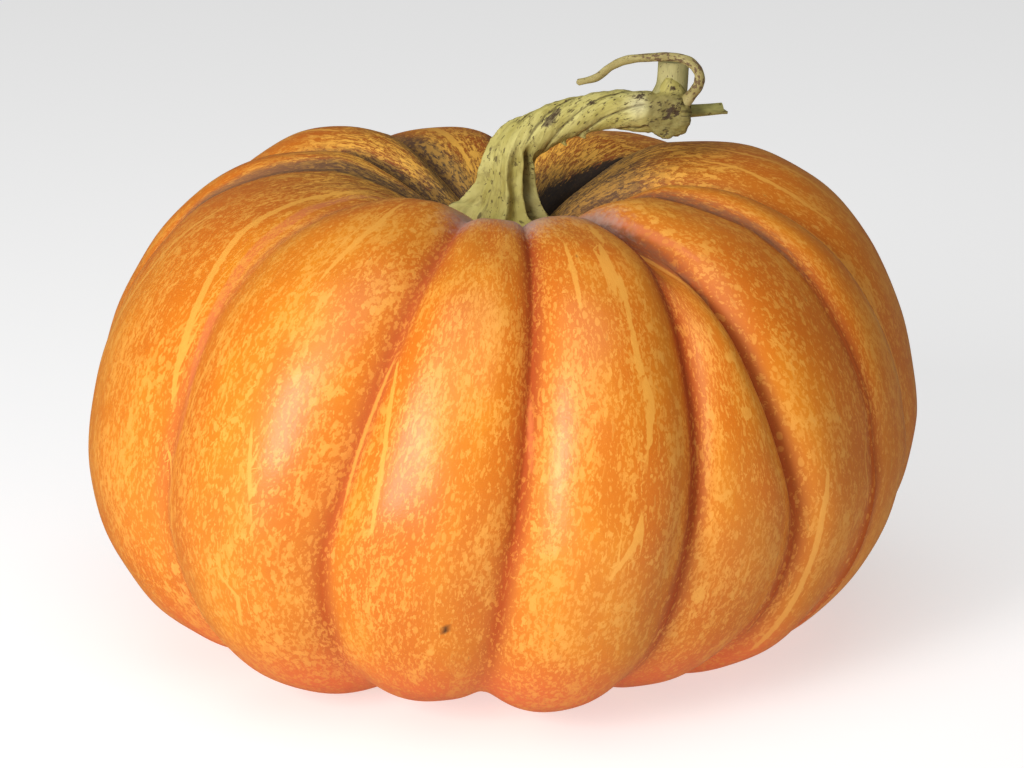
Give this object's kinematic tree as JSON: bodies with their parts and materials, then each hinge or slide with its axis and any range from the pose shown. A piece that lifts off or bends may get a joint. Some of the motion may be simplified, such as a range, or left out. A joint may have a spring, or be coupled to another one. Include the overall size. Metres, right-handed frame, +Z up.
{
  "type": "pumpkin",
  "caption": "Whole ribbed pumpkin, broader than tall, with a twisted ridged stalk bent to one side that ends in a cut vine, a cut leaf stalk and a dried tendril.",
  "frame": {"origin": "on the ground, under the middle of the fruit", "axes": "+Z up along the fruit's own axis, -Y towards the side the picture shows, +X the way the stalk leans"},
  "size_m": [0.2952, 0.2948, 0.2137],
  "materials": {
    "rind": "satin, waxy, flecked",
    "stalk_skin": "dry, matt",
    "vine_skin": "dry, matt",
    "tendril_skin": "dry, matt"
  },
  "bodies": {
    "root": {"fruit": "rind", "stalk": "stalk_skin", "vine_stub": "vine_skin", "leaf_stalk_stub": "stalk_skin", "tendril": "tendril_skin"}
  },
  "joints": []
}
